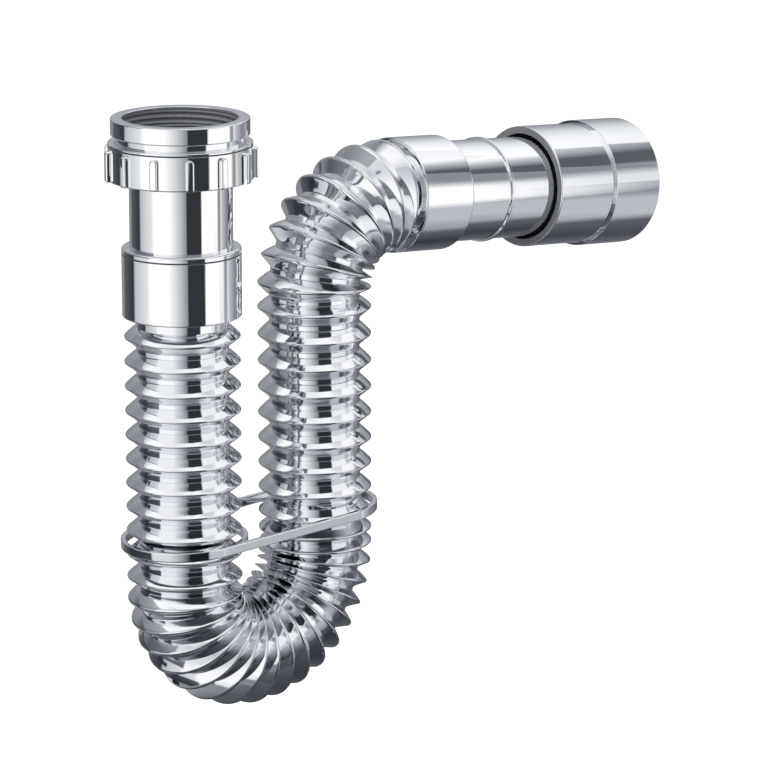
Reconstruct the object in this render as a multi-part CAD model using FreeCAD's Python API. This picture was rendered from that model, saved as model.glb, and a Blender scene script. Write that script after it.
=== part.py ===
import FreeCAD, Part
import math
import os

os.makedirs("parts", exist_ok=True)

# Flexible sink waste trap with its inlet union, bellows hose, leg clip and stepped outlet.
# The origin is the centre of the inlet collar's top face and +Z points up the inlet.
# The hose lies in the XZ plane, and the outlet leaves towards +X. All sizes are in millimetres.

# Inlet collar: a socket for the sink waste's thread above, a threaded neck below
socket_rim = 2.4
socket_depth = 7.4
neck_wall = 2.8
neck_length = 9.8
neck_shown = 2.7
collar_rim = 1.7
collar_height = 6.7
collar_edge = 0.6
washer_ledge = 0.6
seat_lip = 2.4

# Washers and the ring that the union squeezes together
inlet_washer_band = 3.8
inlet_washer_thickness = 2.2
union_washer_thickness = 2.0
slip_ring_thickness = 0.8
washer_play = 0.2

# Union nut with its gripping ribs
nut_wall = 2.74
nut_lip_thickness = 2.7
nut_edge = 0.6
groove_below_top = 0.9
groove_width = 0.45
groove_depth = 0.4
rib_count = 13
rib_width = 3.15
rib_reach = 1.8
rib_root = 1.2
rib_below_top = 2.3
rib_turn = 16.5
thread_play = 0.06

# Tailpiece tube
tube_od = 40.0
tube_wall = 2.2
flange_thickness = 2.0
flange_play = 0.5
tube_shown = 26.4
tube_play = 0.08

# Cuffs that hold the hose's two plain ends
cuff_wall = 3.2
inlet_cuff_length = 27.2
cuff_edge = 0.9
cuff_groove_below_top = 2.2
cuff_socket_depth = 12.0
cuff_stop_height = 1.6
cuff_mouth_wall = 1.6
cuff_mouth_depth = 2.4
glue_gap = 0.05

# Bellows wall: steep folds round a plain bore
root_od = 36.0
fold_height = 4.6
hose_wall = 1.2
fold_share = 0.86

# Hose route: inlet leg down, U-bend in two radii, outlet leg up, upper bend over to the outlet
inlet_leg = 109.4
u_inlet_radius = 30.5
u_inlet_turn = 90.0
u_outlet_radius = 36.7
outlet_leg = 103.5
upper_radius = 33.0
upper_tail = 4.3
outlet_fall = 4.6

# Crest counts and spacing on each stretch of the route
inlet_leg_crest_count = 11
inlet_leg_lead = 8.2
inlet_leg_pitch_top = 9.9
inlet_leg_pitch_low = 9.3
u_crest_count = 18
u_lead = 2.5
u_overrun = 6.5
u_bunching_share = 0.1
outlet_leg_crest_count = 9
outlet_leg_pitch_low = 9.8
outlet_leg_pitch_top = 11.0
outlet_leg_tail = 6.7
upper_crest_count = 8
upper_lead = 2.1
upper_pitch = 7.4

# Clip that keeps the two legs together
clip_height = 3.8
clip_thickness = 2.1
clip_play = 0.3
clip_above_bend = 17.2
clip_rise = 2.2

# Outlet spigot, one moulding with its cuff
outlet_cuff_length = 26.0
outlet_cuff_taper = 1.4
spigot_od = 41.0
spigot_wall = 2.4
spigot_edge = 0.8
bead_from_cuff = 22.4
bead_height = 0.9
bead_width = 2.4

# Outlet sleeve and its lip seal
sleeve_from_cuff = 46.2
sleeve_wall = 4.25
spigot_entry = 24.7
sleeve_edge = 0.4
sleeve_mouth_gap = 1.1
sleeve_mouth_depth = 5.0
sleeve_stop_height = 2.0
sleeve_stop_length = 3.0
sleeve_stop_gap = 0.3
sleeve_stop_slope = 2.3
end_step = 1.25
end_length = 24.7
end_wall = 2.0
slide_play = 0.08
seal_width = 4.0
seal_thickness = 1.9

# Diameters that follow from the fits above
socket_bore = tube_od + 2 * socket_rim
neck_od = socket_bore + 2 * neck_wall
collar_od = neck_od + 2 * collar_rim
washer_seat_od = socket_bore - 2 * washer_ledge
inlet_washer_od = washer_seat_od - 2 * washer_play
inlet_washer_id = inlet_washer_od - 2 * inlet_washer_band
collar_bore = inlet_washer_id - 2 * seat_lip
nut_bore = neck_od + 2 * thread_play
nut_od = nut_bore + 2 * nut_wall
flange_od = nut_bore - 2 * flange_play
tube_bore = tube_od - 2 * tube_wall
cuff_od = tube_od + 2 * cuff_wall
hose_bore = root_od - 2 * hose_wall
crest_od = root_od + 2 * fold_height
spigot_bore = spigot_od - 2 * spigot_wall
sleeve_od = spigot_od + 2 * sleeve_wall
end_od = sleeve_od + 2 * end_step
end_bore = end_od - 2 * end_wall

# Lengths along the outlet that follow from each other
spigot_length = sleeve_from_cuff + spigot_entry
sleeve_length = spigot_entry + sleeve_stop_gap + sleeve_stop_length + sleeve_stop_slope

# Levels down the inlet, worked out from the sizes above
washer_seat = -socket_depth - inlet_washer_thickness
collar_bottom = -collar_height - neck_length
nut_top = -collar_height - neck_shown
flange_top = collar_bottom - union_washer_thickness
slip_ring_top = flange_top - flange_thickness
nut_lip_top = slip_ring_top - slip_ring_thickness
nut_bottom = nut_lip_top - nut_lip_thickness
inlet_cuff_top = nut_bottom - tube_shown
tube_bottom = inlet_cuff_top - (inlet_cuff_length - cuff_socket_depth - cuff_stop_height)
inlet_cuff_bottom = inlet_cuff_top - inlet_cuff_length
UP = FreeCAD.Vector(0, 0, 1)
SIDE = FreeCAD.Vector(0, 1, 0)


def point(x, z):
    """Point in the XZ plane."""
    return FreeCAD.Vector(x, 0, z)


def turned(outline):
    """Solid turned about Z from an outline of (radius, height) points."""
    wire = Part.makePolygon([point(r, z) for r, z in outline + outline[:1]])
    return Part.Face(wire).revolve(point(0, 0), UP, 360)


def tube(outer_d, inner_d, top, bottom):
    """Plain ring or tube about Z."""
    return turned([(outer_d / 2, top), (outer_d / 2, bottom), (inner_d / 2, bottom), (inner_d / 2, top)])


def inlet_collar():
    """Collar: threaded socket with a washer seat, ring outside, threaded neck below."""
    outer, bore, neck, seat = collar_od / 2, socket_bore / 2, neck_od / 2, washer_seat_od / 2
    return turned([
        (bore, 0), (outer - collar_edge, 0), (outer, -collar_edge), (outer, collar_edge - collar_height),
        (outer - collar_edge, -collar_height), (neck, -collar_height), (neck, collar_bottom),
        (collar_bore / 2, collar_bottom), (collar_bore / 2, washer_seat), (seat, washer_seat),
        (seat, -socket_depth), (bore, -socket_depth),
    ])


def inlet_washer():
    """Flat rubber washer on the collar's seat, level with the end of the thread."""
    return tube(inlet_washer_od, inlet_washer_id, -socket_depth, washer_seat)


def nut_rib():
    """One gripping rib: a straight bar with an arched top."""
    half = rib_width / 2
    inner = nut_od / 2 - rib_root
    depth = rib_root + rib_reach
    arch = nut_top - rib_below_top - half
    bar = Part.makeBox(depth, rib_width, arch - nut_bottom, FreeCAD.Vector(inner, -half, nut_bottom))
    return bar.fuse(Part.makeCylinder(half, depth, point(inner, arch), FreeCAD.Vector(1, 0, 0)))


def union_nut():
    """Ribbed nut: thread bore above, inward lip that lifts the tailpiece's flange below."""
    outer, bore, lip = nut_od / 2, nut_bore / 2, tube_od / 2 + tube_play
    groove_top = nut_top - groove_below_top
    groove_floor = outer - groove_depth
    body = turned([
        (bore, nut_top), (outer - nut_edge, nut_top), (outer, nut_top - nut_edge), (outer, groove_top),
        (groove_floor, groove_top), (groove_floor, groove_top - groove_width),
        (outer, groove_top - groove_width), (outer, nut_bottom + nut_edge), (outer - nut_edge, nut_bottom),
        (lip, nut_bottom), (lip, nut_lip_top), (bore, nut_lip_top),
    ])
    ribs = []
    for index in range(rib_count):
        rib = nut_rib()
        rib.rotate(point(0, 0), UP, rib_turn + index * 360.0 / rib_count)
        ribs.append(rib)
    return body.fuse(ribs).removeSplitter()


def union_washer():
    """Flat rubber washer between the collar's neck and the tailpiece's flange."""
    return tube(flange_od, tube_bore, collar_bottom, flange_top)


def slip_ring():
    """Thin ring that lets the nut turn on the flange."""
    return tube(flange_od, tube_od + 2 * tube_play, slip_ring_top, nut_lip_top)


def tailpiece():
    """Straight tube with a flange at its top."""
    outer, bore, flange = tube_od / 2, tube_bore / 2, flange_od / 2
    return turned([
        (bore, flange_top), (flange, flange_top), (flange, slip_ring_top), (outer, slip_ring_top),
        (outer, tube_bottom), (bore, tube_bottom),
    ])


def hose_socket(mouth, into):
    """Half outline of a cuff's hose socket, from its open mouth towards the stop."""
    wall_in = cuff_od / 2 - cuff_mouth_wall
    grip = root_od / 2 + glue_gap
    step = mouth + into * cuff_mouth_depth
    end = mouth + into * cuff_socket_depth
    return [(wall_in, mouth), (wall_in, step), (grip, step), (grip, end), (hose_bore / 2, end)]


def inlet_cuff():
    """Cuff that joins the tailpiece above to the hose below, with a stop between them."""
    outer, tube_grip = cuff_od / 2, tube_od / 2 + glue_gap
    groove_top = inlet_cuff_top - cuff_groove_below_top
    groove_floor = outer - groove_depth
    outline = [
        (tube_grip, inlet_cuff_top), (outer - cuff_edge, inlet_cuff_top), (outer, inlet_cuff_top - cuff_edge),
        (outer, groove_top), (groove_floor, groove_top), (groove_floor, groove_top - groove_width),
        (outer, groove_top - groove_width), (outer, inlet_cuff_bottom),
    ]
    outline += hose_socket(inlet_cuff_bottom, 1)
    outline += [(hose_bore / 2, tube_bottom), (tube_grip, tube_bottom)]
    return turned(outline)


def route_sections():
    """Centreline of the hose: (length, turn radius, turn sign) of each stretch in order."""
    u_outlet_turn = 180.0 - u_inlet_turn
    upper_turn = 90.0 + outlet_fall
    return [
        (inlet_leg, 0, 0),
        (u_inlet_radius * math.radians(u_inlet_turn), u_inlet_radius, 1),
        (u_outlet_radius * math.radians(u_outlet_turn), u_outlet_radius, 1),
        (outlet_leg, 0, 0),
        (upper_radius * math.radians(upper_turn), upper_radius, -1),
        (upper_tail, 0, 0),
    ]


def route_at(distance):
    """Place and direction of the centreline at a distance from the inlet cuff's lower edge."""
    x, z, heading = 0.0, inlet_cuff_bottom, -math.pi / 2
    sections = route_sections()
    for index, (length, radius, sign) in enumerate(sections):
        last = index == len(sections) - 1
        run = distance if distance <= length or last else length
        if sign and run > length:
            extra, run = run - length, length
        else:
            extra = 0.0
        if sign:
            centre_x = x - sign * radius * math.sin(heading)
            centre_z = z + sign * radius * math.cos(heading)
            heading += sign * run / radius
            x = centre_x + sign * radius * math.sin(heading)
            z = centre_z - sign * radius * math.cos(heading)
        else:
            x += run * math.cos(heading)
            z += run * math.sin(heading)
        x += extra * math.cos(heading)
        z += extra * math.sin(heading)
        distance -= run
        if distance <= 0 or last:
            return point(x, z), point(math.cos(heading), math.sin(heading))


def section_ends():
    """Distance along the route at which each stretch ends."""
    ends, total = [], 0.0
    for length, radius, sign in route_sections():
        total += length
        ends.append(total)
    return ends


def spaced(start, first_pitch, last_pitch, count):
    """Crest distances whose pitch changes evenly from the first to the last."""
    places = [start]
    for index in range(count - 1):
        share = index / max(count - 2, 1)
        places.append(places[-1] + first_pitch + (last_pitch - first_pitch) * share)
    return places


def crest_places():
    """Distances along the route of all crests."""
    leg_end, _, u_end, outlet_leg_end, _, _ = section_ends()
    places = spaced(inlet_leg_lead, inlet_leg_pitch_top, inlet_leg_pitch_low, inlet_leg_crest_count)
    u_start = leg_end + u_lead
    u_span = u_end + u_overrun - u_start
    for index in range(u_crest_count):
        turn = 2 * math.pi * index / (u_crest_count - 1)
        places.append(u_start + u_span * (turn - u_bunching_share * math.sin(turn)) / (2 * math.pi))
    down = spaced(outlet_leg_tail, outlet_leg_pitch_top, outlet_leg_pitch_low, outlet_leg_crest_count)
    places += [outlet_leg_end - place for place in reversed(down)]
    places += [outlet_leg_end + upper_lead + upper_pitch * index for index in range(upper_crest_count)]
    return places


def fold_rings(wall):
    """(distance, radius) rings of the hose's skin, drawn in by a wall from its outer face."""
    crest, root = crest_od / 2 - wall, root_od / 2 - wall
    places = crest_places()
    total = section_ends()[-1]
    gaps = [b - a for a, b in zip(places, places[1:])]
    rings = [(-cuff_socket_depth, root)]
    for index, place in enumerate(places):
        before = gaps[max(index - 1, 0)]
        after = gaps[min(index, len(gaps) - 1)]
        rings.append((place - before * fold_share / 2, root))
        rings.append((place, crest))
        rings.append((place + after * fold_share / 2, root))
    rings.append((total, root))
    rings.append((total + cuff_socket_depth, root))
    return rings


def ring_wire(distance, radius):
    """Circle across the route, with its seam always on the same side."""
    centre, heading = route_at(distance)
    frame = FreeCAD.Rotation(heading.cross(SIDE), SIDE, heading, "ZYX")
    circle = Part.Circle(FreeCAD.Vector(0, 0, 0), UP, radius).toShape()
    circle.Placement = FreeCAD.Placement(centre, frame)
    return Part.Wire(circle)


def corrugated_hose():
    """Bellows hose: outer and inner skins laid ring by ring along the route, closed at both ends."""
    outer = [ring_wire(*ring) for ring in fold_rings(0)]
    inner = [ring_wire(*ring) for ring in fold_rings(hose_wall)]
    faces = Part.makeLoft(outer, False, True).Faces + Part.makeLoft(inner, False, True).Faces
    for end in (0, -1):
        faces.append(Part.Face([outer[end], inner[end]]))
    shell = Part.Shell(faces)
    shell.sewShape()
    solid = Part.Solid(shell)
    solid.fix(1e-4, 1e-4, 1e-4)
    return solid


def leg_clip():
    """Clip: closed ring round the inlet leg, two straight bars and a round end about the outlet leg."""
    inner = crest_od / 2 + clip_play
    outer = inner + clip_thickness
    spacing = route_at(section_ends()[2])[0].x
    bend_top = inlet_cuff_bottom - inlet_leg
    level = bend_top + clip_above_bend
    base = point(0, level)

    def loop(radius):
        ends = Part.makeCylinder(radius, clip_height, base)
        ends = ends.fuse(Part.makeCylinder(radius, clip_height, point(spacing, level)))
        middle = Part.makeBox(spacing, 2 * radius, clip_height, FreeCAD.Vector(0, -radius, level))
        return ends.fuse(middle)

    ring = Part.makeCylinder(outer, clip_height, base).cut(Part.makeCylinder(inner, clip_height, base))
    clip = loop(outer).cut(loop(inner)).fuse(ring).removeSplitter()
    clip.rotate(point(0, level + clip_height / 2), SIDE, -math.degrees(math.atan2(clip_rise, spacing)))
    return clip


def outlet_placement():
    """Placement that lays a piece drawn up Z from the outlet cuff's open end along the outlet."""
    start, heading = route_at(section_ends()[-1])
    return FreeCAD.Placement(start, FreeCAD.Rotation(UP, heading))


def outlet_spigot():
    """Outlet moulding: hose cuff, slimmer spigot and a bead that stops the sleeve."""
    cuff, pipe, bore = cuff_od / 2, spigot_od / 2, spigot_bore / 2
    bead = outlet_cuff_length + bead_from_cuff
    end = outlet_cuff_length + spigot_length
    outline = hose_socket(0, 1) + [
        (hose_bore / 2, cuff_socket_depth + cuff_stop_height),
        (bore, cuff_socket_depth + 2 * cuff_stop_height), (bore, end),
        (pipe - spigot_edge, end), (pipe, end - spigot_edge), (pipe, bead + bead_width / 2),
        (pipe + bead_height, bead + bead_width / 4), (pipe + bead_height, bead - bead_width / 4),
        (pipe, bead - bead_width / 2), (pipe, outlet_cuff_length),
        (cuff - outlet_cuff_taper, outlet_cuff_length), (cuff, outlet_cuff_length - outlet_cuff_taper),
        (cuff, 0),
    ]
    spigot = turned(outline)
    spigot.Placement = outlet_placement()
    return spigot


def outlet_sleeve():
    """Stepped sleeve that pushes over the spigot, with a seal groove behind its mouth."""
    start = outlet_cuff_length + sleeve_from_cuff
    step = start + sleeve_length
    end = step + end_length
    pipe = spigot_od / 2 + slide_play
    mouth = spigot_od / 2 + sleeve_mouth_gap
    groove = pipe + seal_thickness
    seal_start = start + sleeve_mouth_depth
    outer, end_outer = sleeve_od / 2, end_od / 2
    stop_start = outlet_cuff_length + spigot_length + sleeve_stop_gap
    stop_end = stop_start + sleeve_stop_length
    stop_bore = pipe - sleeve_stop_height
    body = turned([
        (mouth, start), (outer - sleeve_edge, start), (outer, start + sleeve_edge), (outer, step),
        (end_outer - sleeve_edge, step), (end_outer, step + sleeve_edge), (end_outer, end),
        (end_bore / 2, end), (end_bore / 2, step), (stop_bore, stop_end), (stop_bore, stop_start),
        (pipe, stop_start),
        (pipe, seal_start + seal_width), (groove, seal_start + seal_width), (groove, seal_start),
        (mouth, seal_start),
    ])
    body.Placement = outlet_placement()
    return body


def outlet_lip_seal():
    """Rubber ring in the sleeve's groove."""
    seal_start = outlet_cuff_length + sleeve_from_cuff + sleeve_mouth_depth
    inner = spigot_od + 2 * slide_play
    seal = tube(inner + 2 * seal_thickness, inner, seal_start + seal_width, seal_start)
    seal.Placement = outlet_placement()
    return seal


for make in (
    inlet_collar, inlet_washer, union_nut, union_washer, slip_ring, tailpiece, inlet_cuff,
    corrugated_hose, leg_clip, outlet_spigot, outlet_sleeve, outlet_lip_seal,
):
    make().exportStep("parts/" + make.__name__ + ".step")
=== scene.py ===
import math

import bpy
from mathutils import Matrix, Vector


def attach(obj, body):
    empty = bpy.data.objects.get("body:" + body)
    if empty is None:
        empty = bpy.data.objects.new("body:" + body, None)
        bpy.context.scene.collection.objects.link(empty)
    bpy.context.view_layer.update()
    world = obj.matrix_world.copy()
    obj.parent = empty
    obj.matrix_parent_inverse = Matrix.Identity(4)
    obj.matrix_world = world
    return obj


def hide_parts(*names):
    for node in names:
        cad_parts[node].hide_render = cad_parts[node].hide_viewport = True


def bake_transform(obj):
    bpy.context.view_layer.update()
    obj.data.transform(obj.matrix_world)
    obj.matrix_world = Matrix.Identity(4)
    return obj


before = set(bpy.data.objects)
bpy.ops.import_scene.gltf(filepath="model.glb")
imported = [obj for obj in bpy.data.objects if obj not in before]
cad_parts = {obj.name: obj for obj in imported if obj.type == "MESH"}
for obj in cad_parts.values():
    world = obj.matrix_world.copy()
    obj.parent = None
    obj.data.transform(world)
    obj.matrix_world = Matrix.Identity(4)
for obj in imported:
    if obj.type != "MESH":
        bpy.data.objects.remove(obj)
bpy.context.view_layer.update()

MM = 0.001

# Fittings, in millimetres, as the solids have them
SOCKET_R = 22.4
SOCKET_DEPTH = 7.4
SEAT_R = 21.8
SEAT_LEVEL = -9.6
COLLAR_BORE_R = 15.4
COLLAR_R = 26.9
COLLAR_HEIGHT = 6.7
NECK_R = 25.2
COLLAR_BOTTOM = -16.5
NUT_R = 28.0
NUT_TOP = -9.4
NUT_BOTTOM = -24.0
NUT_LIP_TOP = -21.3
RIB_COUNT = 13
RIB_TURN = 16.5
RIB_WIDTH = 3.15
RIB_REACH = 1.8
TUBE_R = 20.0
TUBE_BORE_R = 17.8
FLANGE_R = 24.76
FLANGE_TOP = -18.5
CUFF_R = 23.2
INLET_CUFF_TOP = -50.4
INLET_CUFF_BOTTOM = -77.6
TUBE_BOTTOM = -64.0
HOSE_BORE_R = 16.8
SPIGOT_R = 20.5
SPIGOT_BORE_R = 18.1
SLEEVE_R = 24.75
END_R = 26.0

# Hose: stretches of its route as (length or turn, radius of the bend), and its folds
CREST_R = 22.6
ROOT_R = 18.0
HOSE_WALL = 1.2
FOLD_SHARE = 0.83
FLANK_UP = 0.86
FLANK_DOWN = 1.2
CREST_ROUNDING = 0.55
PLAIN_END = 12.0
INLET_LEG = 109.4
U_INLET_RADIUS = 30.5
U_INLET_TURN = 90.0
U_OUTLET_RADIUS = 36.7
OUTLET_LEG = 103.5
UPPER_RADIUS = 33.0
UPPER_TAIL = 4.3
OUTLET_FALL = 4.6
ROUND_STEPS = 144


def linear(hex_colour):
    """Linear colour from an sRGB hex value."""
    values = [int(hex_colour[i:i + 2], 16) / 255 for i in (1, 3, 5)]
    return [v / 12.92 if v <= 0.04045 else ((v + 0.055) / 1.055) ** 2.4 for v in values] + [1.0]


# ---- shaping ----
def rounded_outline(corners):
    """Closed outline from (radius, height, rounding) corners, with an arc on each rounded one."""
    outline = []
    for index, (r, z, rounding) in enumerate(corners):
        here = Vector((r, z))
        before = Vector(corners[index - 1][:2]) - here
        after = Vector(corners[(index + 1) % len(corners)][:2]) - here
        if rounding <= 0:
            outline.append((r, z))
            continue
        a, b = before.normalized(), after.normalized()
        half = a.angle(b) / 2
        reach = min(rounding / math.tan(half), 0.45 * before.length, 0.45 * after.length)
        radius = reach * math.tan(half)
        centre = here + (a + b).normalized() * (radius / math.sin(half))
        start, end = here + a * reach, here + b * reach
        support = min(0.15, 0.04 * min(before.length, after.length))
        outline.append(tuple(start + a * support))
        first, last = start - centre, end - centre
        turn = first.angle_signed(last)
        steps = 6
        for step in range(steps + 1):
            spun = first.copy()
            spun.rotate(Matrix.Rotation(-turn * step / steps, 2))
            outline.append(tuple(centre + spun))
        outline.append(tuple(end + b * support))
    return outline


def new_mesh(name, vertices, faces, sharp_angle=35):
    """Object from points in millimetres, smooth but for its edges."""
    mesh = bpy.data.meshes.new(name)
    mesh.from_pydata([tuple(c * MM for c in v) for v in vertices], [], faces)
    mesh.validate()
    mesh.shade_smooth()
    mesh.set_sharp_from_angle(angle=math.radians(sharp_angle))
    piece = bpy.data.objects.new(name, mesh)
    bpy.context.scene.collection.objects.link(piece)
    return piece


def turned_faces(outline, steps, vertices, faces):
    """Adds the skin of a closed outline turned about Z."""
    base, count = len(vertices), len(outline)
    for step in range(steps):
        angle = 2 * math.pi * step / steps
        c, s = math.cos(angle), math.sin(angle)
        vertices += [(r * c, r * s, z) for r, z in outline]
    for step in range(steps):
        here, there = base + step * count, base + (step + 1) % steps * count
        for i in range(count):
            j = (i + 1) % count
            faces.append((here + i, there + i, there + j, here + j))


def dress_picked_faces(piece, face_material, inside):
    """Gives a material to the faces that the test picks by their (radius, height) before the piece is laid in place:
    the grey of a socket, or the painted shade of a recess.
    """
    piece.data.materials.append(face_material)
    slot = len(piece.data.materials) - 1
    for face in piece.data.polygons:
        x, y, z = (c / MM for c in face.center)
        if inside(math.hypot(x, y), z):
            face.material_index = slot


def turned(name, corners, steps=192):
    vertices, faces = [], []
    turned_faces(rounded_outline(corners), steps, vertices, faces)
    return new_mesh(name, vertices, faces)


# ---- inlet union ----
def collar_piece():
    """Collar with the thread of its socket cut as a helical groove."""
    thread_depth, thread_pitch = 0.5, 2.2
    rows = 60
    corners = [
        (SOCKET_R, -1.0, 0), (SOCKET_R, 0, 0.3), (COLLAR_R, 0, 0.5), (COLLAR_R, -COLLAR_HEIGHT, 0.6), (NECK_R, -COLLAR_HEIGHT, 0.2),
        (NECK_R, COLLAR_BOTTOM, 0.4), (COLLAR_BORE_R, COLLAR_BOTTOM, 0.3), (COLLAR_BORE_R, SEAT_LEVEL, 0.3),
        (SEAT_R, SEAT_LEVEL, 0.1), (SEAT_R, -SOCKET_DEPTH, 0.1), (SOCKET_R, -SOCKET_DEPTH, 0),
    ]
    outline = rounded_outline(corners)
    steps = 192
    vertices, faces = [], []
    top, bottom = -1.0, -SOCKET_DEPTH
    count = rows - 1
    for step in range(steps):
        share = step / steps
        angle = 2 * math.pi * share
        column = []
        for row in range(count):
            z = bottom + (top - bottom) * (row + 1) / rows
            phase = (z / thread_pitch - share) % 1.0
            cut = min(1.0, max(0.0, (0.5 - abs(phase - 0.5)) * 4 - 0.4))
            lead = min(1.0, (top - z) / 0.5, (z - bottom) / 0.6)
            column.append((SOCKET_R + thread_depth * cut * lead, z))
        for r, z in outline + column:
            vertices.append((r * math.cos(angle), r * math.sin(angle), z))
    total = len(outline) + count
    for step in range(steps):
        here, there = step * total, (step + 1) % steps * total
        for i in range(total):
            j = (i + 1) % total
            faces.append((here + i, there + i, there + j, here + j))
    return new_mesh("collar", vertices, faces)


def rib_rows(angle):
    """Rings of points over one gripping rib: straight sides, an arched top and softened edges."""
    bevel = 0.7
    rows = []
    layers = [(NUT_R - 1.0, 0.0), (NUT_R + RIB_REACH - bevel, 0.0)]
    for step in range(1, 6):
        turn = math.pi / 2 * step / 5
        layers.append((NUT_R + RIB_REACH - bevel + bevel * math.sin(turn), bevel * (1 - math.cos(turn))))
    arch = NUT_TOP - 2.3 - RIB_WIDTH / 2
    for reach, inset in layers:
        half = RIB_WIDTH / 2 - inset
        low = NUT_BOTTOM + 0.25 + inset
        ring = [(reach, -half, low + 0.2), (reach, -half, low + 0.6), (reach, -half, arch - 0.3)]
        for step in range(13):
            turn = math.pi * step / 12
            ring.append((reach, -half * math.cos(turn), arch + half * math.sin(turn)))
        ring += [(reach, half, arch - 0.3), (reach, half, low + 0.6), (reach, half, low + 0.2)]
        ring += [(reach, half - 0.2, low), (reach, -half + 0.2, low)]
        c, s = math.cos(angle), math.sin(angle)
        rows.append([(x * c - y * s, x * s + y * c, z) for x, y, z in ring])
    return rows


def nut_piece():
    """Union nut: flat upper lip, a groove below it and rounded ribs."""
    groove_top = NUT_TOP - 0.9
    corners = [
        (25.3, NUT_TOP, 0.2), (NUT_R, NUT_TOP, 0.5), (NUT_R, groove_top, 0.15), (NUT_R - 0.4, groove_top, 0),
        (NUT_R - 0.4, groove_top - 0.45, 0), (NUT_R, groove_top - 0.45, 0.15), (NUT_R, NUT_BOTTOM, 0.5),
        (20.15, NUT_BOTTOM, 0.4), (20.15, NUT_LIP_TOP, 0), (25.3, NUT_LIP_TOP, 0),
    ]
    vertices, faces = [], []
    turned_faces(rounded_outline(corners), 192, vertices, faces)
    for index in range(RIB_COUNT):
        rows = rib_rows(math.radians(RIB_TURN + index * 360 / RIB_COUNT))
        base, count = len(vertices), len(rows[0])
        for row in rows:
            vertices += row
        for layer in range(len(rows) - 1):
            for i in range(count):
                j = (i + 1) % count
                here = base + layer * count
                faces.append((here + i, here + j, here + count + j, here + count + i))
        last = base + (len(rows) - 1) * count
        faces.append(tuple(last + i for i in range(count)))
    return new_mesh("nut", vertices, faces, 40)


def tailpiece_piece():
    return turned("tailpiece_tube", [
        (TUBE_BORE_R, FLANGE_TOP, 0.2), (FLANGE_R, FLANGE_TOP, 0.3), (FLANGE_R, FLANGE_TOP - 2, 0.3), (TUBE_R, FLANGE_TOP - 2, 0.1),
        (TUBE_R, TUBE_BOTTOM, 0), (TUBE_BORE_R, TUBE_BOTTOM, 0),
    ])


def socket_corners(mouth, into):
    """Corners of a cuff's hose socket, from its open mouth towards the stop."""
    step, end = mouth + into * 2.4, mouth + into * PLAIN_END
    return [
        (CUFF_R - 1.6, mouth, 0.3), (CUFF_R - 1.6, step, 0.1), (ROOT_R + 0.05, step, 0), (ROOT_R + 0.05, end, 0),
        (HOSE_BORE_R, end, 0),
    ]


def inlet_cuff_piece():
    """Cuff with a rolled upper edge and a fine groove under it."""
    groove_top = INLET_CUFF_TOP - 2.2
    corners = [
        (TUBE_R + 0.05, INLET_CUFF_TOP, 0.1), (CUFF_R, INLET_CUFF_TOP, 1.2), (CUFF_R, groove_top, 0.1),
        (CUFF_R - 0.4, groove_top, 0), (CUFF_R - 0.4, groove_top - 0.5, 0), (CUFF_R, groove_top - 0.5, 0.1),
        (CUFF_R, INLET_CUFF_BOTTOM, 0.5),
    ] + socket_corners(INLET_CUFF_BOTTOM, 1) + [(HOSE_BORE_R, TUBE_BOTTOM, 0), (TUBE_R + 0.05, TUBE_BOTTOM, 0)]
    return turned("inlet_cuff_moulding", corners)


# ---- bellows hose ----
def route_sections():
    return [
        (INLET_LEG, 0, 0),
        (U_INLET_RADIUS * math.radians(U_INLET_TURN), U_INLET_RADIUS, 1),
        (U_OUTLET_RADIUS * math.radians(180 - U_INLET_TURN), U_OUTLET_RADIUS, 1),
        (OUTLET_LEG, 0, 0),
        (UPPER_RADIUS * math.radians(90 + OUTLET_FALL), UPPER_RADIUS, -1),
        (UPPER_TAIL, 0, 0),
    ]


def section_ends():
    ends, total = [], 0.0
    for length, radius, sign in route_sections():
        total += length
        ends.append(total)
    return ends


def route_at(distance):
    """Centre and heading of the hose at a distance from the inlet cuff's lower edge."""
    x, z, heading = 0.0, INLET_CUFF_BOTTOM, -math.pi / 2
    sections = route_sections()
    for index, (length, radius, sign) in enumerate(sections):
        last = index == len(sections) - 1
        run = min(distance, length)
        if sign:
            centre_x = x - sign * radius * math.sin(heading)
            centre_z = z + sign * radius * math.cos(heading)
            heading += sign * run / radius
            x = centre_x + sign * radius * math.sin(heading)
            z = centre_z - sign * radius * math.cos(heading)
        else:
            x += run * math.cos(heading)
            z += run * math.sin(heading)
        distance -= run
        if distance <= 0 or last:
            x += distance * math.cos(heading)
            z += distance * math.sin(heading)
            return Vector((x, 0, z)), Vector((math.cos(heading), 0, math.sin(heading)))


def spaced(start, first_pitch, last_pitch, count):
    places = [start]
    for index in range(count - 1):
        places.append(places[-1] + first_pitch + (last_pitch - first_pitch) * index / max(count - 2, 1))
    return places


def crest_places():
    """Distances of the crests: wide on the legs, bunched in the middle of the bends."""
    leg_end, _, u_end, outlet_leg_end, _, _ = section_ends()
    places = spaced(8.2, 9.9, 9.3, 11)
    u_start = leg_end + 2.5
    u_span = u_end + 6.5 - u_start
    for index in range(18):
        turn = 2 * math.pi * index / 17
        places.append(u_start + u_span * (turn - 0.1 * math.sin(turn)) / (2 * math.pi))
    places += [outlet_leg_end - place for place in reversed(spaced(6.7, 11.0, 9.8, 9))]
    places += [outlet_leg_end + 2.1 + 7.4 * index for index in range(8)]
    return places


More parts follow.
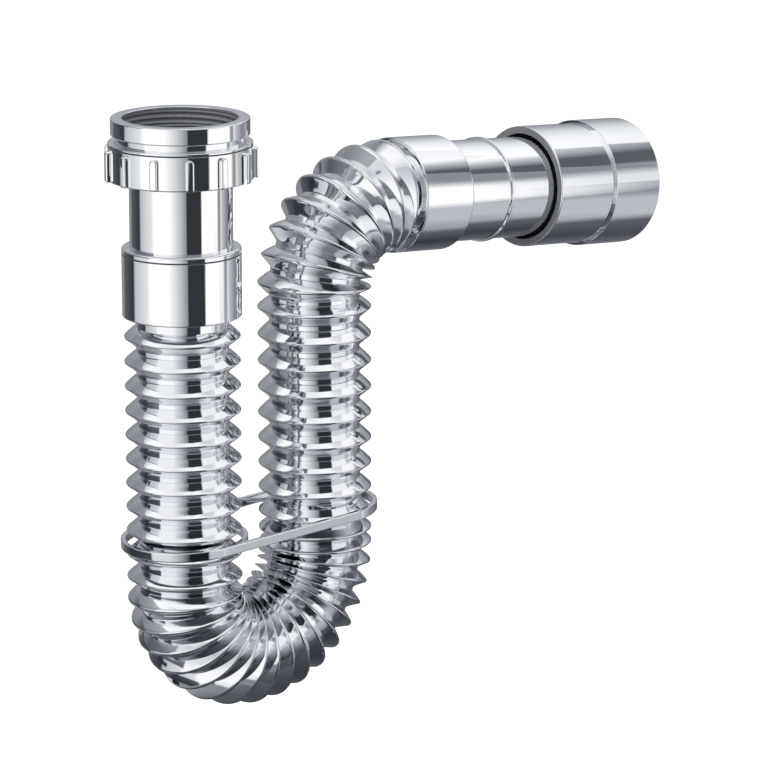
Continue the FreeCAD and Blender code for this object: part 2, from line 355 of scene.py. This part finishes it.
def fold_outline(place, half_before, half_after):
    """(distance, radius) points over one fold: the flank that faces up bulges a little, the other is hollowed."""
    points = []
    up = route_at(place)[1].z
    middle, swing = (FLANK_UP + FLANK_DOWN) / 2, (FLANK_DOWN - FLANK_UP) / 2
    for half, side in ((half_before, -1), (half_after, 1)):
        power = middle - side * swing * up
        flank = []
        for share in (0.0, 0.35, 0.7, 1.0):
            angle = share * math.radians(44)
            flank.append((CREST_ROUNDING * math.sin(angle), CREST_R - CREST_ROUNDING * (1 - math.cos(angle))))
        start_x, start_r = flank[-1]
        for step in range(1, 9):
            share = step / 8
            flank.append((start_x + (half - start_x) * share, ROOT_R + (start_r - ROOT_R) * (1 - share) ** power))
        if side < 0:
            points += [(place - x, r) for x, r in reversed(flank)]
        else:
            points += [(place + x, r) for x, r in flank[1:]]
    return points


def hose_outline():
    """(distance, radius) points of the whole outer skin."""
    places = crest_places()
    gaps = [b - a for a, b in zip(places, places[1:])]
    points = []
    for index, place in enumerate(places):
        before, after = gaps[max(index - 1, 0)], gaps[min(index, len(gaps) - 1)]
        fold = fold_outline(place, before * FOLD_SHARE / 2, after * FOLD_SHARE / 2)
        points.append((fold[0][0] - 0.1, ROOT_R))
        points += fold
        points.append((fold[-1][0] + 0.1, ROOT_R))
    return points


def hose_piece(name, first, last, points, closed_start, closed_end):
    """Skin of the hose between two distances, outer folds and inner wall, laid ring by ring."""
    skin = [(d, r) for d, r in points if first <= d <= last]
    skin = [(first, ROOT_R)] + skin + [(last, ROOT_R)]
    inner = [(d, r - HOSE_WALL) for d, r in reversed(skin[::3] + [skin[-1]])]
    vertices, faces = [], []
    rings = skin + inner if closed_start or closed_end else skin
    for distance, radius in rings:
        centre, heading = route_at(distance)
        across = heading.cross(Vector((0, 1, 0)))
        for step in range(ROUND_STEPS):
            angle = 2 * math.pi * step / ROUND_STEPS
            vertices.append(tuple(centre + Vector((0, radius * math.cos(angle), 0)) + across * radius * math.sin(angle)))
    count = len(rings)
    for ring in range(count):
        following = (ring + 1) % count
        joint = ring == len(skin) - 1 and not closed_end or ring == count - 1 and not closed_start
        if joint:
            continue
        for step in range(ROUND_STEPS):
            j = (step + 1) % ROUND_STEPS
            faces.append((
                ring * ROUND_STEPS + step, following * ROUND_STEPS + step,
                following * ROUND_STEPS + j, ring * ROUND_STEPS + j,
            ))
    return new_mesh(name, vertices, faces, 36)


# ---- clip ----
def clip_piece():
    """Flat band clip: a ring round the inlet leg and a long loop round both legs."""
    inner, wall, height = CREST_R + 0.3, 2.1, 3.8
    spacing = route_at(section_ends()[2])[0].x
    level = INLET_CUFF_BOTTOM - INLET_LEG + 17.2
    vertices, faces = [], []
    section = rounded_outline([(0, 0, 0.45), (wall, 0, 0.45), (wall, height, 0.45), (0, height, 0.45)])

    def band(path, closed, shrink=0.0):
        base, count = len(vertices), len(section)
        for x, y, nx, ny in path:
            for out, up in section:
                out = shrink + out * (wall - 2 * shrink) / wall
                up = shrink + up * (height - 2 * shrink) / height
                vertices.append((x + nx * (inner + out), y + ny * (inner + out), level + up))
        steps = len(path)
        for step in range(steps if closed else steps - 1):
            here, there = base + step * count, base + (step + 1) % steps * count
            for i in range(count):
                j = (i + 1) % count
                faces.append((here + i, here + j, there + j, there + i))

    steps = 72
    loop = []
    for step in range(steps + 1):
        angle = math.pi / 2 + math.pi * step / steps
        loop.append((0, 0, math.cos(angle), math.sin(angle)))
    for step in range(1, 8):
        loop.append((spacing * step / 8, 0, 0, -1))
    for step in range(steps + 1):
        angle = -math.pi / 2 + math.pi * step / steps
        loop.append((spacing, 0, math.cos(angle), math.sin(angle)))
    for step in range(7, 0, -1):
        loop.append((spacing * step / 8, 0, 0, 1))
    band(loop, True)
    inner_half = []
    for step in range(steps + 1):
        angle = -math.pi / 2 + math.pi * step / steps
        inner_half.append((0, 0, math.cos(angle), math.sin(angle)))
    band(inner_half, False, 0.03)
    piece = new_mesh("clip_band", vertices, faces, 35)
    tilt = Matrix.Rotation(-math.atan2(2.2, spacing), 4, "Y")
    middle = Matrix.Translation((0, 0, (level + height / 2) * MM))
    piece.data.transform(middle @ tilt @ middle.inverted())
    return piece


# ---- outlet ----
def lay_along_outlet(piece):
    """Lays a piece turned about Z along the outlet, its zero at the hose's end."""
    start, heading = route_at(section_ends()[-1])
    turn = Vector((0, 0, 1)).rotation_difference(heading).to_matrix().to_4x4()
    piece.data.transform(Matrix.Translation(start * MM) @ turn)
    return piece


def spigot_piece():
    """Outlet moulding: cuff, slimmer spigot and a rounded bead."""
    bead = 48.4
    corners = socket_corners(0, 1) + [
        (HOSE_BORE_R, 13.6, 0), (SPIGOT_BORE_R, 15.2, 0), (SPIGOT_BORE_R, 96.9, 0.3), (SPIGOT_R, 96.9, 0.8),
        (SPIGOT_R, bead + 1.0, 0.2), (SPIGOT_R + 0.9, bead + 0.6, 0.35), (SPIGOT_R + 0.9, bead - 0.6, 0.35),
        (SPIGOT_R, bead - 1.0, 0.2), (SPIGOT_R, 26.0, 0.3), (CUFF_R - 1.4, 26.0, 0.6), (CUFF_R, 24.6, 0.8),
        (CUFF_R, 0, 0.4),
    ]
    return turned("outlet_spigot_moulding", corners)


def sleeve_piece():
    """Stepped outlet sleeve with a seal groove behind its mouth."""
    corners = [
        (SPIGOT_R + 1.1, 72.2, 0.3), (SLEEVE_R, 72.2, 0.5), (SLEEVE_R, 102.5, 0.15), (END_R, 102.5, 0.25),
        (END_R, 127.2, 0.5), (24.0, 127.2, 0.4), (24.0, 102.5, 0.2), (18.58, 100.2, 0.3), (18.58, 97.2, 0.2),
        (20.58, 97.2, 0), (20.58, 81.2, 0), (22.48, 81.2, 0), (22.48, 77.2, 0), (SPIGOT_R + 1.1, 77.2, 0),
    ]
    return turned("outlet_sleeve_moulding", corners)


# ---- materials ----
def add(tree, kind, settings=None, links=None):
    """Adds a node, sets its inputs and properties, and links other nodes' outputs to its inputs."""
    node = tree.nodes.new(kind)
    for key, value in (settings or {}).items():
        if isinstance(key, int) or key in node.inputs:
            node.inputs[key].default_value = value
        else:
            setattr(node, key, value)
    for key, output in (links or {}).items():
        tree.links.new(output, node.inputs[key])
    return node


def empty_material(name):
    material = bpy.data.materials.new(name)
    material.use_nodes = True
    material.node_tree.nodes.clear()
    return material


def plated(name, colour, roughness, wave_mm, wave_height):
    """Bright plating over moulded plastic: mirror-like, with the faint waviness of the moulding under it."""
    material = empty_material(name)
    tree = material.node_tree
    place = add(tree, "ShaderNodeTexCoord")
    waves = add(tree, "ShaderNodeTexNoise", {"Scale": 1000 / wave_mm, "Detail": 1.0}, {"Vector": place.outputs["Object"]})
    bump = add(tree, "ShaderNodeBump", {"Strength": 1.0, "Distance": wave_height * MM}, {"Height": waves.outputs["Fac"]})
    haze = add(tree, "ShaderNodeTexNoise", {"Scale": 1000 / 14.0, "Detail": 3.0}, {"Vector": place.outputs["Object"]})
    spread = add(tree, "ShaderNodeMapRange", {"To Min": roughness * 0.8, "To Max": roughness * 1.25}, {"Value": haze.outputs["Fac"]})
    shader = add(tree, "ShaderNodeBsdfPrincipled", {"Base Color": linear(colour), "Metallic": 1.0},
                 {"Roughness": spread.outputs["Result"], "Normal": bump.outputs["Normal"]})
    add(tree, "ShaderNodeOutputMaterial", None, {"Surface": shader.outputs["BSDF"]})
    return material


def moulded(name, colour, roughness, grain_mm, grain_height):
    """Plain moulded polymer with a fine matt grain."""
    material = empty_material(name)
    tree = material.node_tree
    place = add(tree, "ShaderNodeTexCoord")
    grain = add(tree, "ShaderNodeTexNoise", {"Scale": 1000 / grain_mm, "Detail": 4.0}, {"Vector": place.outputs["Object"]})
    bump = add(tree, "ShaderNodeBump", {"Strength": 0.6, "Distance": grain_height * MM}, {"Height": grain.outputs["Fac"]})
    shader = add(tree, "ShaderNodeBsdfPrincipled", {"Base Color": linear(colour), "Roughness": roughness, "IOR": 1.5},
                 {"Normal": bump.outputs["Normal"]})
    add(tree, "ShaderNodeOutputMaterial", None, {"Surface": shader.outputs["BSDF"]})
    return material


# Chrome-plated ABS, moulded and polished: the fittings mirror the room with crisp edges.
chrome_fittings = plated("chrome_plated_abs", "#FAFBFD", 0.02, 9.0, 0.004)
# Metallised polypropylene, blow moulded: the bellows mirror more softly than the fittings.
chrome_bellows = plated("metallised_polypropylene", "#F3F4F7", 0.06, 6.0, 0.003)
# Paler unplated ABS: the collar's socket and the sleeve's mouth read as soft grey, not as mirrors.
grey_abs = moulded("grey_moulded_abs", "#66686D", 0.38, 1.5, 0.006)
# Chrome-plated ABS of the thin clip, slightly duller from its flat mould.
chrome_clip = plated("chrome_plated_abs_clip", "#F0F1F4", 0.06, 7.0, 0.006)
# Grey ABS, moulded, in a dull dark grey that is painted shade: the bores, sockets and the fine grooves of the nut and
# cuff get it instead of the plating, so these recesses read dark.
recess_shade_abs = moulded("grey_abs_painted_recess_shade", "#3A3D42", 0.30, 0.8, 0.005)
# EPDM rubber, moulded: a dull near-black that shows only as dark rings.
rubber = moulded("epdm_rubber", "#2A2B2D", 0.62, 0.4, 0.02)
# Natural acetal, moulded: a slippery off-white ring hidden in the nut.
acetal = moulded("acetal", "#E4E2DC", 0.38, 0.5, 0.01)


def dress(piece, material):
    piece.data.materials.clear()
    piece.data.materials.append(material)


collar = collar_piece()
nut = nut_piece()
tube_piece = tailpiece_piece()
inlet_cuff = inlet_cuff_piece()
spigot = spigot_piece()
sleeve = sleeve_piece()
clip = clip_piece()
ends = section_ends()
outline = hose_outline()
total = ends[-1]
split_low = (crest_places()[10] + crest_places()[11]) / 2
split_high = (crest_places()[37] + crest_places()[38]) / 2
inlet_bellows = hose_piece("bellows_inlet_leg", -PLAIN_END, split_low, outline, True, False)
middle_bellows = hose_piece("bellows_bend_and_outlet_leg", split_low, split_high, outline, False, False)
upper_bellows = hose_piece("bellows_upper_bend", split_high, total + PLAIN_END, outline, False, True)

for piece in (collar, nut, tube_piece, inlet_cuff, spigot, sleeve):
    dress(piece, chrome_fittings)
dress_picked_faces(collar, grey_abs, lambda r, z: r < SOCKET_R + 1 and z < -0.32)
# Painted shade: the fine groove under the nut's lip gets the dark recess grey, so it shows as a dark line.
dress_picked_faces(nut, recess_shade_abs, lambda r, z: r < NUT_R - 0.1 and NUT_TOP - 1.4 < z < NUT_TOP - 0.88)
# Painted shade: the bores of the tube, cuff, spigot and sleeve, and the fine groove under the cuff's rolled edge, get
# the dark recess grey.
dress_picked_faces(tube_piece, recess_shade_abs, lambda r, z: r < TUBE_BORE_R + 0.1)
dress_picked_faces(inlet_cuff, recess_shade_abs, lambda r, z: r < ROOT_R + 0.1 or r < CUFF_R - 0.1 and -2.75 < z - INLET_CUFF_TOP < -2.15)
dress_picked_faces(spigot, recess_shade_abs, lambda r, z: r < SPIGOT_BORE_R + 0.1)
dress_picked_faces(sleeve, recess_shade_abs, lambda r, z: r < SPIGOT_R + 1.15 or r < 24.05 and z > 90)
dress_picked_faces(sleeve, grey_abs, lambda r, z: SPIGOT_R + 1.15 < r < 24.3 and z < 72.3)
lay_along_outlet(spigot)
lay_along_outlet(sleeve)
for piece in (inlet_bellows, middle_bellows, upper_bellows):
    dress(piece, chrome_bellows)
dress(clip, chrome_clip)
for node, material in (
    ("inlet_washer", rubber), ("union_washer", rubber), ("outlet_lip_seal", rubber), ("slip_ring", acetal),
):
    dress(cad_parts[node], material)

for piece, body, node in (
    (collar, "inlet", "inlet_collar"), (nut, "nut", "union_nut"), (tube_piece, "trap", "tailpiece"),
    (inlet_cuff, "trap", "inlet_cuff"), (middle_bellows, "hose", "corrugated_hose"), (clip, "clip", "leg_clip"),
    (spigot, "outlet", "outlet_spigot"), (sleeve, "sleeve", "outlet_sleeve"),
):
    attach(piece, body)
    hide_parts(node)
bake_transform(inlet_bellows)
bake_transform(upper_bellows)
for piece in (inlet_bellows, upper_bellows):
    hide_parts("corrugated_hose")

# ---- studio ----
CAMERA_AT = Vector((-1.0656, -1.3221, 0.3083))
LOOK_AT = Vector((0.0584, -0.0517, -0.1052))
AWAY = Vector((LOOK_AT.x - CAMERA_AT.x, LOOK_AT.y - CAMERA_AT.y, 0)).normalized()
RIGHT = Vector((AWAY.y, -AWAY.x, 0))
FLOOR_LEVEL = -0.62
MIDDLE = Vector((0.08, 0.0, 0.0))


def painted_light(name, tone_attribute=None, colour="#FFFFFF", strength=1.0):
    """Even glow of a lit card, with its tones taken from the card's own paint."""
    material = empty_material(name)
    tree = material.node_tree
    glow = add(tree, "ShaderNodeEmission", {"Color": linear(colour), "Strength": strength})
    if tone_attribute:
        paint = add(tree, "ShaderNodeAttribute", {"attribute_name": tone_attribute})
        tree.links.new(paint.outputs["Color"], glow.inputs["Color"])
    add(tree, "ShaderNodeOutputMaterial", None, {"Surface": glow.outputs["Emission"]})
    return material


def board(name, low, high, tones, paint):
    """Curved board round the part from a (radius, height) edge to another, in metres.

    Its tones are (angle, hex of the low edge, hex of the high edge). Angles count from the camera, and rise to its
    right.
    """
    columns = []
    for (start, *first), (end, *second) in zip(tones, tones[1:]):
        steps = max(1, int((end - start) / 4))
        for step in range(steps):
            share = step / steps
            mixed = []
            for a, b in zip(first, second):
                mixed.append([p + (q - p) * share for p, q in zip(linear(a), linear(b))])
            columns.append((start + (end - start) * share, mixed))
    columns.append((tones[-1][0], [linear(tone) for tone in tones[-1][1:]]))
    vertices, faces, colours = [], [], []
    for angle, mixed in columns:
        turn = math.radians(angle)
        way = RIGHT * math.sin(turn) - AWAY * math.cos(turn)
        for (radius, height), colour in zip((low, high), mixed):
            spot = MIDDLE + way * radius
            vertices.append((spot.x / MM, spot.y / MM, height / MM))
            colours += colour
    for i in range(len(columns) - 1):
        faces.append((2 * i, 2 * i + 1, 2 * i + 3, 2 * i + 2))
    piece = new_mesh(name, vertices, faces)
    layer = piece.data.attributes.new("paint", "FLOAT_COLOR", "POINT")
    layer.data.foreach_set("color", colours)
    dress(piece, paint)
    piece.visible_camera = False
    piece.visible_shadow = False
    piece.visible_diffuse = False


def banded_boards(name, radius, start, end, levels):
    """Boards one above another between two angles, their tones following (height, hex) levels."""
    for index, ((low, low_tone), (high, high_tone)) in enumerate(zip(levels, levels[1:])):
        tones = [(start, low_tone, high_tone), (end, low_tone, high_tone)]
        board(f"{name}_{index + 1}", (radius, low), (radius, high), tones, paint)


def even(tones):
    """Tones that are the same at both edges of a board."""
    return [(angle, tone, tone) for angle, tone in tones]


paint = painted_light("painted_boards", "paint", strength=1.05)
# Greys of the studio's cards, chosen as plain steps from black to white
CARD_BLACK = "#181A1C"
CARD_DARK = "#303338"
CARD_DEEP = "#585C62"
CARD_MID = "#888C92"
CARD_LIGHT = "#B8BBC0"
CARD_PALE = "#E0E2E5"
CARD_WHITE = "#FFFFFF"

board("boards_low", (1.3, FLOOR_LEVEL), (1.3, 0.0), [
    (-180, CARD_MID, CARD_MID), (-140, CARD_MID, CARD_MID), (-135, CARD_DEEP, CARD_DEEP),
    (-100, CARD_DARK, CARD_DARK), (-95, CARD_LIGHT, CARD_LIGHT), (-65, CARD_PALE, CARD_PALE),
    (-60, CARD_WHITE, CARD_WHITE), (-25, CARD_WHITE, CARD_WHITE), (10, CARD_MID, CARD_MID),
    (12, CARD_DARK, CARD_DARK), (43, CARD_DARK, CARD_DARK), (46, CARD_WHITE, CARD_WHITE),
    (90, CARD_WHITE, CARD_WHITE), (105, CARD_LIGHT, CARD_LIGHT), (120, CARD_MID, CARD_MID),
    (160, CARD_DEEP, CARD_DEEP), (180, CARD_MID, CARD_MID),
], paint)
board("boards_lowest", (1.27, FLOOR_LEVEL + 0.035), (1.27, -0.395), [
    (-110, CARD_DARK, CARD_DARK), (-60, CARD_DARK, CARD_DEEP), (-57, CARD_PALE, CARD_WHITE),
    (-25, CARD_PALE, CARD_WHITE), (5, CARD_DEEP, CARD_MID), (10, CARD_BLACK, CARD_DARK),
    (42, CARD_BLACK, CARD_DARK), (45, CARD_LIGHT, CARD_PALE), (75, CARD_LIGHT, CARD_PALE),
], paint)
board("boards_middle", (1.3, 0.0), (1.3, 0.4), [
    (-180, CARD_MID, CARD_LIGHT), (-130, CARD_MID, CARD_MID), (-110, CARD_DEEP, CARD_DEEP),
    (-62, CARD_DEEP, CARD_MID), (-60, CARD_WHITE, CARD_PALE), (-25, CARD_WHITE, CARD_PALE),
    (10, CARD_DEEP, CARD_MID), (42, CARD_DEEP, CARD_MID), (45, CARD_WHITE, CARD_LIGHT),
    (95, CARD_WHITE, CARD_LIGHT), (115, CARD_MID, CARD_MID), (180, CARD_MID, CARD_LIGHT),
], paint)
board("boards_high", (1.3, 0.4), (1.3, 1.1), [
    (-180, CARD_LIGHT, CARD_PALE), (-130, CARD_MID, CARD_MID), (-60, CARD_MID, CARD_LIGHT),
    (-58, CARD_PALE, CARD_PALE), (-25, CARD_PALE, CARD_LIGHT), (10, CARD_MID, CARD_DEEP),
    (42, CARD_MID, CARD_DEEP), (50, CARD_LIGHT, CARD_LIGHT), (95, CARD_MID, CARD_PALE),
    (130, CARD_LIGHT, CARD_WHITE), (180, CARD_LIGHT, CARD_PALE),
], paint)
board("boards_ceiling_outer", (1.3, 1.1), (0.8, 1.1), [
    (-180, CARD_PALE, CARD_PALE), (-130, CARD_DEEP, CARD_MID), (-100, CARD_WHITE, CARD_WHITE),
    (-60, CARD_WHITE, CARD_WHITE), (-20, CARD_LIGHT, CARD_PALE), (30, CARD_MID, CARD_LIGHT),
    (60, CARD_PALE, CARD_PALE), (100, CARD_WHITE, CARD_WHITE), (180, CARD_PALE, CARD_PALE),
], paint)
board("boards_ceiling_ring", (0.8, 1.1), (0.3, 1.1), [
    (-180, CARD_PALE, CARD_PALE), (-130, CARD_MID, CARD_MID), (-100, CARD_WHITE, CARD_PALE),
    (60, CARD_WHITE, CARD_WHITE), (90, CARD_PALE, CARD_LIGHT), (180, CARD_PALE, CARD_PALE),
], paint)
board("boards_ceiling", (0.3, 1.1), (0.01, 1.1), [
    (-180, CARD_LIGHT, CARD_LIGHT), (-120, CARD_MID, CARD_LIGHT), (-90, CARD_PALE, CARD_LIGHT),
    (20, CARD_WHITE, CARD_LIGHT), (60, CARD_MID, CARD_LIGHT), (110, CARD_MID, CARD_LIGHT),
    (140, CARD_PALE, CARD_LIGHT), (180, CARD_LIGHT, CARD_LIGHT),
], paint)
banded_boards("slate_boards", 1.28, 74, 123, [
    (0.05, CARD_WHITE), (0.2, CARD_WHITE), (0.35, CARD_LIGHT), (0.5, CARD_DEEP), (0.75, CARD_DEEP),
    (0.95, CARD_LIGHT), (1.08, CARD_WHITE),
])
banded_boards("white_boards_back", 1.28, 124, 170, [
    (0.4, CARD_LIGHT), (0.7, CARD_PALE), (1.08, CARD_WHITE),
])
banded_boards("white_boards_right", 1.28, 76, 97, [
    (FLOOR_LEVEL + 0.03, CARD_LIGHT), (-0.5, CARD_LIGHT), (-0.3, CARD_WHITE), (0.05, CARD_WHITE),
])
end_levels = [
    (FLOOR_LEVEL + 0.03, CARD_LIGHT, CARD_LIGHT), (-0.5, CARD_LIGHT, CARD_LIGHT),
    (-0.3, CARD_WHITE, CARD_MID), (-0.05, CARD_WHITE, CARD_LIGHT), (-0.03, CARD_WHITE, CARD_PALE),
    (0.15, CARD_WHITE, CARD_PALE), (0.35, CARD_LIGHT, CARD_MID), (0.5, CARD_DEEP, CARD_MID),
    (0.75, CARD_DEEP, CARD_MID), (0.95, CARD_LIGHT, CARD_LIGHT), (1.08, CARD_WHITE, CARD_PALE),
]
for number, (lower, upper) in enumerate(zip(end_levels, end_levels[1:])):
    board("end_boards_%d" % number, (1.275, lower[0]), (1.275, upper[0]), [
        (86, lower[1], upper[1]), (90.5, lower[2], upper[2]), (97, lower[2], upper[2]),
    ], paint)
board("dark_board_left", (1.28, -0.21), (1.28, -0.11), even([
    (-110, CARD_DARK), (-88, CARD_DARK),
]), paint)
board("floor_board_outer", (0.8, FLOOR_LEVEL + 0.03), (1.28, FLOOR_LEVEL + 0.03), [
    (-180, CARD_DEEP, CARD_MID), (-130, CARD_LIGHT, CARD_PALE), (-112, CARD_LIGHT, CARD_PALE),
    (-109, CARD_DARK, CARD_BLACK), (-95, CARD_DARK, CARD_BLACK), (-93, CARD_MID, CARD_MID),
    (-40, CARD_MID, CARD_MID), (0, CARD_DARK, CARD_DARK), (43, CARD_DARK, CARD_DARK),
    (60, CARD_MID, CARD_MID), (76, CARD_LIGHT, CARD_LIGHT), (104, CARD_LIGHT, CARD_LIGHT),
    (120, CARD_DEEP, CARD_DEEP), (160, CARD_DEEP, CARD_DEEP), (180, CARD_DEEP, CARD_MID),
], paint)
board("floor_board_middle", (0.42, FLOOR_LEVEL + 0.04), (0.8, FLOOR_LEVEL + 0.03), [
    (-180, CARD_DEEP, CARD_DEEP), (-135, CARD_DEEP, CARD_LIGHT), (-60, CARD_DEEP, CARD_MID),
    (-15, CARD_DARK, CARD_DARK), (45, CARD_DARK, CARD_DEEP), (90, CARD_MID, CARD_LIGHT),
    (106, CARD_MID, CARD_LIGHT), (115, CARD_DEEP, CARD_DEEP), (145, CARD_DARK, CARD_DEEP),
    (180, CARD_DEEP, CARD_DEEP),
], paint)
board("floor_board_under", (0.42, FLOOR_LEVEL + 0.04), (0.01, FLOOR_LEVEL + 0.04), [
    (-180, CARD_DEEP, CARD_DARK), (180, CARD_DEEP, CARD_DARK),
], paint)


def floor_piece():
    """Pale floor: white to the camera and in the chrome, with the part's shadow kept."""
    reach = 5000
    floor = new_mesh("floor", [(-reach, -reach, 0), (reach, -reach, 0), (reach, reach, 0), (-reach, reach, 0)],
                     [(0, 1, 2, 3)])
    floor.location.z = FLOOR_LEVEL
    material = empty_material("matt_white_paint")
    tree = material.node_tree
    path = add(tree, "ShaderNodeLightPath")
    seen = add(tree, "ShaderNodeMath", {"operation": "MAXIMUM"}, {
        0: path.outputs["Is Camera Ray"], 1: path.outputs["Is Glossy Ray"]})
    seen = add(tree, "ShaderNodeMath", {"operation": "MAXIMUM"}, {
        0: seen.outputs["Value"], 1: path.outputs["Is Transmission Ray"]})
    lift = add(tree, "ShaderNodeMath", {"operation": "MULTIPLY", 1: 0.25}, {0: seen.outputs["Value"]})
    glow = add(tree, "ShaderNodeEmission", None, {"Strength": lift.outputs["Value"]})
    paint_coat = add(tree, "ShaderNodeBsdfDiffuse", {"Color": linear("#F0F0F0")})
    both = add(tree, "ShaderNodeAddShader", None, {0: paint_coat.outputs["BSDF"], 1: glow.outputs["Emission"]})
    add(tree, "ShaderNodeOutputMaterial", None, {"Surface": both.outputs["Shader"]})
    dress(floor, material)
    return floor


floor_piece()

key = bpy.data.lights.new("softbox", "AREA")
key.shape = "RECTANGLE"
key.size = 1.2
key.size_y = 0.9
key.energy = 14
softbox = bpy.data.objects.new("softbox", key)
bpy.context.scene.collection.objects.link(softbox)
softbox.visible_glossy = False
softbox.location = MIDDLE - RIGHT * 0.35 - AWAY * 0.45 + Vector((0, 0, 1.0))
softbox.rotation_euler = (MIDDLE + Vector((0, 0, -0.1)) - softbox.location).to_track_quat("-Z", "Y").to_euler()

world = bpy.data.worlds.new("studio_air")
bpy.context.scene.world = world
world.use_nodes = True
world.node_tree.nodes.clear()
air = add(world.node_tree, "ShaderNodeBackground", {"Color": linear("#FFFFFF"), "Strength": 1.0})
add(world.node_tree, "ShaderNodeOutputWorld", None, {"Surface": air.outputs["Background"]})

lens = bpy.data.cameras.new("camera")
lens.lens = 210.94
lens.sensor_width = 36
camera = bpy.data.objects.new("camera", lens)
bpy.context.scene.collection.objects.link(camera)
camera.location = CAMERA_AT
camera.rotation_euler = (LOOK_AT - CAMERA_AT).to_track_quat("-Z", "Y").to_euler()
bpy.context.scene.camera = camera
bpy.context.scene.view_settings.view_transform = "Standard"
